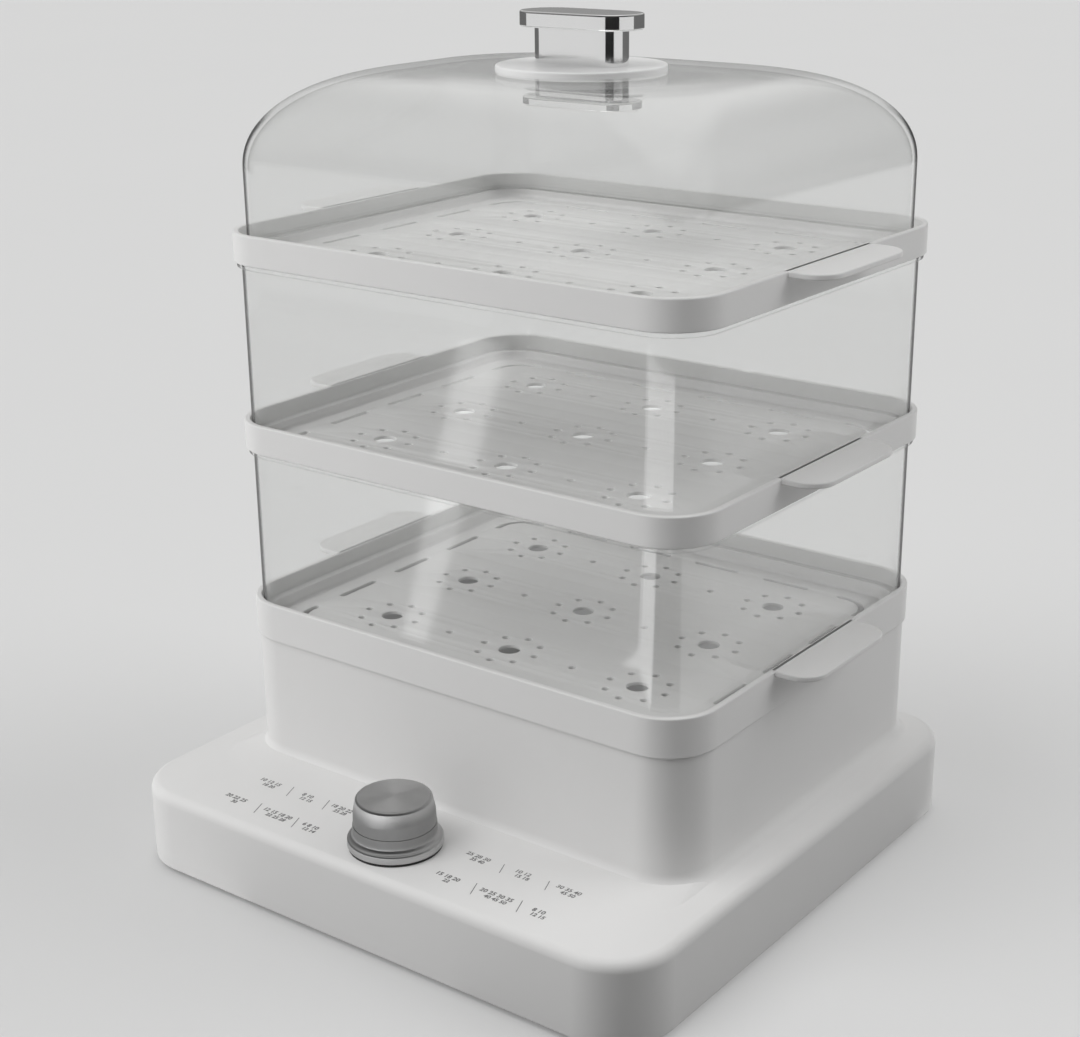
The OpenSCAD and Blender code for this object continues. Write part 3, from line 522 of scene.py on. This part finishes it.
knob_metal, tree, shader = principled("knob_metal", Metallic=1.0, Anisotropic=0.9)
centred = node(tree, "ShaderNodeVectorMath", {"operation": "SUBTRACT"}, object_point(tree),
               (0, KNOB_Y*MM, 0))
split = tree.nodes.new("ShaderNodeSeparateXYZ")
tree.links.new(centred.socket, split.inputs[0])
x, y, z = (Socket(tree, split.outputs[i]) for i in range(3))
radius = (x*x + y*y)**0.5
groove = node(tree, "ShaderNodeTexNoise", {"noise_dimensions": "1D"}, W=radius + z, Scale=3200.0,
              Detail=2.0)
rough = noise(tree, 0.006, 3.0)
# Painted shade: the cap's side between the flange ring and the top band takes the darker colour.
side = (z.between((KNOB_Z + 5)*MM, (KNOB_Z + 9)*MM)
        * (1 - z.between((KNOB_TOP - 8)*MM, (KNOB_TOP - 1)*MM)))
bright, dark = (mix_colour(tree, rough, grey(shade), grey(shade + 12)) for shade in (194, 148))
connect(tree, shader, Base_Color=mix_colour(tree, side, bright, dark),
        Roughness=0.34 + 0.12*rough, Normal=bump(tree, groove, 0.00004, 0.5))
cap_profile = rounded([(17, KNOB_TOP - 3), (17, KNOB_Z + 5), (CAP_R, KNOB_Z + 5),
                       (CAP_R - 0.4, KNOB_TOP - 8), (CAP_TOP_R, KNOB_TOP), (0.02, KNOB_TOP),
                       (0.02, KNOB_TOP - 3)], [0.4, 0.4, 0.3, 14, 1.9, 0.01, 0.01], 7, 0.1)
skirt_profile = rounded([(18.75, KNOB_Z), (SKIRT_R, KNOB_Z), (SKIRT_R, KNOB_Z + 4.4),
                         (22.1, KNOB_Z + 5.6), (SKIRT_NECK_R, KNOB_Z + 12), (20.5, KNOB_Z + 12),
                         (20.5, KNOB_Z + 5)], [0.2, 0.9, 1.3, 2.6, 0.1, 0.1, 0.2], 6, 0.08)
for name, profile in (("knob_cap", cap_profile), ("knob_skirt", skirt_profile)):
    piece(name, [skin(spun(profile, (0, KNOB_Y)), ring=True)], knob_metal, "knob", [name])
carried(black_plastic, "black_plastic", "knob_collar", "knob_core")


# Trays: white mouldings. Each has an upright rim, a ledge for the wall above, a shallow bowl with a
# perforated floor and a flat grip at each side; the lowest also has a skirt inside the tower.
RIM_T, SEAT, LEDGE_T, FLOOR_T = 3.5, 9, 2.2, 2.0
BOWL_OUT, BOWL_IN, FLOOR_IN = 6.7, 8.7, 12.2
TRAY_SKIRT_OUT, TRAY_SKIRT_IN, TRAY_SKIRT_DROP = 4.6, 6.6, 5
GRIP_L, GRIP_OUT, GRIP_T, GRIP_R = 84, 22, 3, 14
SLOT_IN, SLOT_L, SLOT_W, SLOT_PITCH, BEND_R, BEND_ARM = 22, 30, 3.5, 48, 16, 4
ROSETTE_X, ROSETTE_Y, ROSETTE_R, BIG_HOLE_R, SMALL_HOLE_R = 84, 68, 17, 6, 2
FLOOR_EDGE = 0.4


def spline(curve, points):
    """Closed straight-line spline through points in millimetres."""
    line = curve.splines.new("POLY")
    line.points.add(len(points) - 1)
    flat = np.column_stack([np.asarray(points)*MM, np.zeros(len(points)), np.ones(len(points))])
    line.points.foreach_set("co", flat.ravel())
    line.use_cyclic_u = True


def disc(x, y, radius, steps):
    """Circle: centre plus radius times cosine and sine."""
    angle = np.linspace(0, 2*np.pi, steps + 1)[:-1]
    return np.column_stack([x + radius*np.cos(angle), y + radius*np.sin(angle)])


def slot_outline(x, y, length, width, upright, steps=13):
    """Straight sides closed by two half circles."""
    half = np.linspace(-np.pi/2, np.pi/2, steps)
    end = np.column_stack([(length - width)/2 + width/2*np.cos(half), width/2*np.sin(half)])
    outline = np.concatenate([end, -end])
    return (outline[:, ::-1] if upright else outline) + (x, y)


def bent_slot(x, y, sx, sy, radius, width, arm):
    """Quarter ring with straight arms and round ends, centred on a line of the given radius."""
    half = np.linspace(0, np.pi, 11)[1:-1]
    turn = np.linspace(0, np.pi/2, 17)
    outer, inner = radius + width/2, radius - width/2
    out_arc = np.column_stack([outer*np.cos(turn), outer*np.sin(turn)])
    in_arc = np.column_stack([inner*np.cos(turn), inner*np.sin(turn)])[::-1]
    low_end = np.column_stack([radius - width/2*np.cos(half), -arm - width/2*np.sin(half)])
    high_end = np.column_stack([-arm - width/2*np.sin(half), radius + width/2*np.cos(half)])
    outline = np.concatenate([[(outer, -arm)], out_arc, [(-arm, outer)], high_end, [(-arm, inner)],
                              in_arc, [(inner, -arm)], low_end])
    return outline*(sx, sy) + (x, y)


def tray_holes():
    """Outlines of the slots near the edge, the nine rosettes and the single holes between them."""
    x, y = TRAY_W/2 - SLOT_IN, TRAY_D/2 - SLOT_IN
    room = BEND_R + BEND_ARM + (SLOT_PITCH - SLOT_L)/2
    n_x, n_y = int(2*(x - room)//SLOT_PITCH), int(2*(y - room)//SLOT_PITCH)
    for s in (-1, 1):
        for i in range(n_x):
            yield slot_outline((i - (n_x - 1)/2)*SLOT_PITCH, s*y, SLOT_L, SLOT_W, False)
        for i in range(n_y):
            yield slot_outline(s*x, (i - (n_y - 1)/2)*SLOT_PITCH, SLOT_L, SLOT_W, True)
        for t in (-1, 1):
            yield bent_slot(s*(x - BEND_R), t*(y - BEND_R), s, t, BEND_R, SLOT_W, BEND_ARM)
    for i in (-1, 0, 1):
        for j in (-1, 0, 1):
            yield disc(ROSETTE_X*i, ROSETTE_Y*j, BIG_HOLE_R, 36)
            for mx, my in disc(ROSETTE_X*i, ROSETTE_Y*j, ROSETTE_R, 8):
                yield disc(mx, my, SMALL_HOLE_R, 20)
    for i in (-1, 1):
        for j in (-1, 0, 1):
            yield disc(ROSETTE_X/2*i, ROSETTE_Y*j, SMALL_HOLE_R, 20)


def pierced_floor(z):
    """Flat plate with rounded hole edges: a filled outline with its holes, made into a mesh."""
    curve = bpy.data.curves.new("floor_outline", "CURVE")
    curve.dimensions, curve.fill_mode = "2D", "BOTH"
    curve.bevel_depth, curve.bevel_resolution = FLOOR_EDGE*MM, 2
    curve.offset = -FLOOR_EDGE*MM
    curve.extrude = FLOOR_T/2*MM - curve.bevel_depth
    spline(curve, rim_loop(BOWL_OUT + 0.1, 0)[:, :2] - (0, STACK_Y))
    for hole in tray_holes():
        spline(curve, hole)
    return made_flat(curve, [0, STACK_Y, z - FLOOR_T/2])


def grip(side, top):
    """Flat plate with two rounded outer corners and softened edges, in line with the rim's top."""
    edge = rounded([(0, top - GRIP_T), (0, top), (4, top), (4, top - GRIP_T)],
                   [0.8, 0.8, 0.01, 0.01], 5, 0.1)[:16]
    x0, x1 = TRAY_W/2 - 2.5, TRAY_W/2 + GRIP_OUT
    loops = []
    for inset, height in edge:
        corner = np.array([[x0, -GRIP_L/2 + inset], [x1 - inset, -GRIP_L/2 + inset],
                           [x1 - inset, GRIP_L/2 - inset], [x0, GRIP_L/2 - inset]])
        flat = rounded(corner, [0.05, GRIP_R - inset, GRIP_R - inset, 0.05], 12, 0.3)*(side, 1)
        loops.append(np.column_stack([flat + (0, STACK_Y), np.full(len(flat), height)]))
    return skin(np.array(loops))


def tray(name, z, height, depth, low, body):
    """Rim, ledge and bowl wall as one cross-section carried round, with the floor and two grips.
    The rim starts at z and has the height; the floor lies at the depth below the rim's top."""
    seat, floor_z = z + height - SEAT, z + height - depth
    top, toe = z + height, floor_z - 0.04
    heel, toe_z = toe - 0.9, z - TRAY_SKIRT_DROP
    if low:
        foot = [(FLOOR_IN, heel), (TRAY_SKIRT_IN, heel), (TRAY_SKIRT_IN, toe_z),
                (TRAY_SKIRT_OUT, toe_z), (TRAY_SKIRT_OUT, seat - LEDGE_T)]
        soft = [0.1, 0.3, 0.4, 0.4, 0.3]
    else:
        foot = [(FLOOR_IN, heel), (BOWL_OUT, heel), (BOWL_OUT, seat - LEDGE_T)]
        soft = [0.1, 0.1, 0.3]
    corner = [(0, z), (0, top), (RIM_T, top), (RIM_T, seat), (BOWL_IN, seat), (BOWL_IN, toe),
              (FLOOR_IN, toe)]
    profile = rounded(corner + foot + [(RIM_T, seat - LEDGE_T), (RIM_T, z)],
                      [0.7, 0.9, 0.9, 0.4, 0.7, 2.2, 0.05] + soft + [0.3, 0.5], 5, 0.08)
    wall = skin(along_rim(profile), ring=True)
    piece(name + "_moulding", [wall, pierced_floor(floor_z), grip(-1, top), grip(1, top)],
          white_plastic, body, [name])


tray("tray_1", TOWER_Z, 21.3, 16, True, "lowest_tray")
tray("tray_2", 225.8, 16, 14, False, "middle_tray")
tray("tray_3", 327.8, 16, 14, False, "top_tray")


# Chambers: clear moulded frames without top or bottom. Each stands on a tray's ledge and carries
# the next tray, whose rim comes down over its top as far as a small lip.
CHAMBER_IN, CHAMBER_WALL, WINDOW_H, CHAMBER_OVER = 4, 2.4, 86, 4.8
LIP_OUT, LIP_T, LIP_DROP = 2.5, 2.4, 2.7


def clear_moulding(name, milk, shine):
    """Clear moulded plastic: it lets most light straight through, mirrors more towards grazing
    angles, has a painted dark line, a painted reflection in flat dark grey, at the outlines of its
    round corners, and carries faint flow waves; milk adds a white haze."""
    material = bpy.data.materials.new(name)
    material.use_nodes = True
    tree = material.node_tree
    tree.nodes.clear()
    wave = bump(tree, noise(tree, 0.04, 1.0), 0.0002, 0.3)
    facing = node(tree, "ShaderNodeLayerWeight", {}, 0.5, wave, out=1)
    see = node(tree, "ShaderNodeBsdfTransparent", {}, (0.982, 0.984, 0.982, 1))
    # Flat dark grey for the painted reflection at the corners' outlines.
    edge = node(tree, "ShaderNodeBsdfPrincipled", {}, **{"Base Color": grey(60), "Roughness": 0.4})
    gloss = node(tree, "ShaderNodeBsdfPrincipled", {}, **{
        "Base Color": (0.95, 0.95, 0.95, 1), "Metallic": 1.0,
        "Roughness": 0.03 + 0.05*noise(tree, 0.02, 3.0), "Normal": wave})
    haze = node(tree, "ShaderNodeBsdfPrincipled", {}, **{"Base Color": grey(250), "Roughness": 0.3})
    normal, behind = (node(tree, "ShaderNodeNewGeometry", {}, out=i) for i in (1, 6))
    upright = 1 - abs(along(tree, normal, (0, 0, 1))).between(0.5, 0.9)
    from_middle = node(tree, "ShaderNodeVectorMath", {"operation": "SUBTRACT"}, object_point(tree),
                       (0, STACK_Y*MM, 0))
    outside = (along(tree, normal, from_middle)*(1 - 2*behind)).between(-0.001, 0.001)
    in_x, in_y = (abs(along(tree, from_middle, axis)).between((flat - 4)*MM, (flat + 1)*MM)
                  for axis, flat in (((1, 0, 0), TRAY_W/2 - TRAY_R),
                                     ((0, 1, 0), TRAY_D/2 - TRAY_R)))
    corner = in_x*in_y
    # Painted dark line: on upright outer faces at the round corners, where they turn away from the
    # eye.
    line = 0.9*facing.between(0.58, 0.8)*upright*outside*corner
    clear = node(tree, "ShaderNodeMixShader", {}, shine*(0.05 + 0.7*facing**4.0), see, gloss)
    clear = node(tree, "ShaderNodeMixShader", {}, line, clear, edge)
    cloud = milk*(0.9 + 0.2*noise(tree, 0.03, 2.0))
    clear = node(tree, "ShaderNodeMixShader", {}, cloud, clear, haze)
    tree.links.new(clear.socket, tree.nodes.new("ShaderNodeOutputMaterial").inputs[0])
    return material


clear_plastic = clear_moulding("clear_plastic", 0.015, 1.0)


def chamber(name, seat, body):
    """The wall's cross-section with its lip, carried along the trays' outline, from the seat up."""
    lip = seat + SEAT + WINDOW_H - LIP_DROP
    outer, inner = CHAMBER_IN - LIP_OUT, CHAMBER_IN + CHAMBER_WALL
    top = seat + SEAT + WINDOW_H + CHAMBER_OVER
    profile = rounded([(CHAMBER_IN, seat), (CHAMBER_IN, lip), (outer, lip), (outer, lip + LIP_T),
                       (CHAMBER_IN, lip + LIP_T), (CHAMBER_IN, top), (inner, top), (inner, seat)],
                      [0.4, 0.4, 0.6, 0.6, 0.4, 0.5, 0.5, 0.4], 5, 0.1)
    piece(name + "_wall", [skin(along_rim(profile, 20), ring=True)], clear_plastic, body, [name])


chamber("chamber_1", 130.8, "lower_chamber")
chamber("chamber_2", 232.8, "upper_chamber")


# Lid: a clear dome on a short flange inside the top tray, moulded in one. The round raised pad on
# its crown is frosted, and carries the handle.
LID_IN, LID_WALL, RIM_3_Z, FLANGE_IN, FLANGE_H = 7.5, 2.4, 343.8, 4, 2
STRAIGHT, SHOULDER_W, SHOULDER_H, CROWN_RISE, POWER = 31.5, 42, 43, 6, 2.2
PAD_R, PAD_H = 44.5, 2.5
CROWN_IN = TRAY_D/2 - LID_IN - PAD_R - 1
CROWN_Z = RIM_3_Z + STRAIGHT + SHOULDER_H + CROWN_RISE


def dome_height(d):
    """Straight wall, then a squared ellipse over the shoulder, then a sine rise to the crown."""
    part = 1 - np.minimum(d/SHOULDER_W, 1)
    return (STRAIGHT + SHOULDER_H*(1 - part**POWER)**(1/POWER)
            + CROWN_RISE*np.sin(np.pi/2*d/CROWN_IN))


def dome_corner(d):
    """The corner radius grows inwards until the ends of the section are almost round."""
    return np.minimum(TRAY_R - LID_IN + d, TRAY_D/2 - LID_IN - d - 1)


steps_in = np.concatenate([SHOULDER_W*(1 - np.cos(np.linspace(0, np.pi/2, 33)))[:-1],
                           np.linspace(SHOULDER_W, CROWN_IN, 12)])


def dome_loop(inset, radius, height):
    """Level loop round the dome at a distance inwards from the trays' outline."""
    return box_loop(TRAY_W - 2*inset, TRAY_D - 2*inset, radius, (0, STACK_Y), height, 20)


seat, skin_in = RIM_3_Z - SEAT, LID_IN + LID_WALL
outer = [dome_loop(FLANGE_IN, TRAY_R - FLANGE_IN, seat + up) for up in (0, FLANGE_H)]
outer += [dome_loop(LID_IN, TRAY_R - LID_IN, seat + FLANGE_H + 0.01)]
outer += [dome_loop(LID_IN + d, dome_corner(d), RIM_3_Z + dome_height(d)) for d in steps_in]
inner = [dome_loop(skin_in, TRAY_R - skin_in, seat + up) for up in (0, 5)]
inner += [dome_loop(skin_in + d, dome_corner(d) - LID_WALL, RIM_3_Z + dome_height(d) - LID_WALL)
          for d in steps_in]
pad = rounded([(0.5, CROWN_Z - 1), (PAD_R, CROWN_Z - 1), (PAD_R, CROWN_Z + PAD_H),
               (0.5, CROWN_Z + PAD_H)], [0.2, 0.2, 1.0, 0.2], 5, 0.1)
piece("lid_dome", [skin(np.array(inner[::-1] + outer))], clear_plastic, "lid", ["lid_shell"],
      sharp=40)
frosted_pad = clear_moulding("frosted_pad", 0.85, 0.25)
piece("lid_pad", [skin(spun(pad, (0, STACK_Y)), ring=True)], frosted_pad, "lid", ["lid_shell"],
      sharp=40)


# Handle: polished metal, a grip plate on a stem above the lid and the same again below it, held
# together by two screws.
chrome, tree, shader = principled("polished_chrome", Metallic=1.0)
smear = noise(tree, 0.012, 3.0)
connect(tree, shader, Base_Color=mix_colour(tree, smear, grey(247), grey(252)),
        Roughness=0.05 + 0.07*smear, Normal=bump(tree, noise(tree, 0.02, 1.0), 0.0002, 0.15))


def obround(length, width, low, high, soft):
    """Bar with half-round ends between two heights, its upper and lower edges rounded."""
    edge = rounded([(0, low), (0, high), (9, high), (9, low)], [soft, soft, 0.1, 0.1], 6, 0.1)[:18]
    outlines = [slot_outline(0, STACK_Y, length - 2*inset, width - 2*inset, False, 37)
                for inset, _ in edge]
    return skin(np.array([np.column_stack([flat, np.full(len(flat), height)])
                          for flat, (_, height) in zip(outlines, edge)]))


PLATE_L, PLATE_W, PLATE_T, STEM_L, STEM_W = 71, 33, 8, 55, 20
INNER_L, INNER_W, INNER_T, INNER_STEM_H = 69, 30, 4.5, 12.5
PAD_TOP, STEM_TOP = CROWN_Z + PAD_H, 444.8
INNER_TOP = CROWN_Z - LID_WALL - 0.3
INNER_PLATE = INNER_TOP - INNER_STEM_H + 0.5
grip_plate = obround(PLATE_L, PLATE_W, STEM_TOP, STEM_TOP + PLATE_T, 0.9)
post = obround(STEM_L, STEM_W, PAD_TOP, STEM_TOP + 0.5, 0.25)
inner_post = obround(STEM_L, STEM_W, INNER_TOP - INNER_STEM_H, INNER_TOP, 0.25)
inner_plate = obround(INNER_L, INNER_W, INNER_PLATE - INNER_T, INNER_PLATE, 0.8)
for name, solid, parts in (("handle_grip", "handle_plate", [grip_plate]),
                           ("handle_post", "handle_stem", [post]),
                           ("handle_foot", "handle_inner", [inner_post, inner_plate])):
    piece(name, parts, chrome, "lid", [solid])
carried(steel, "steel", "handle_screw_1", "handle_screw_2")


scene.cycles.transparent_max_bounces = 32
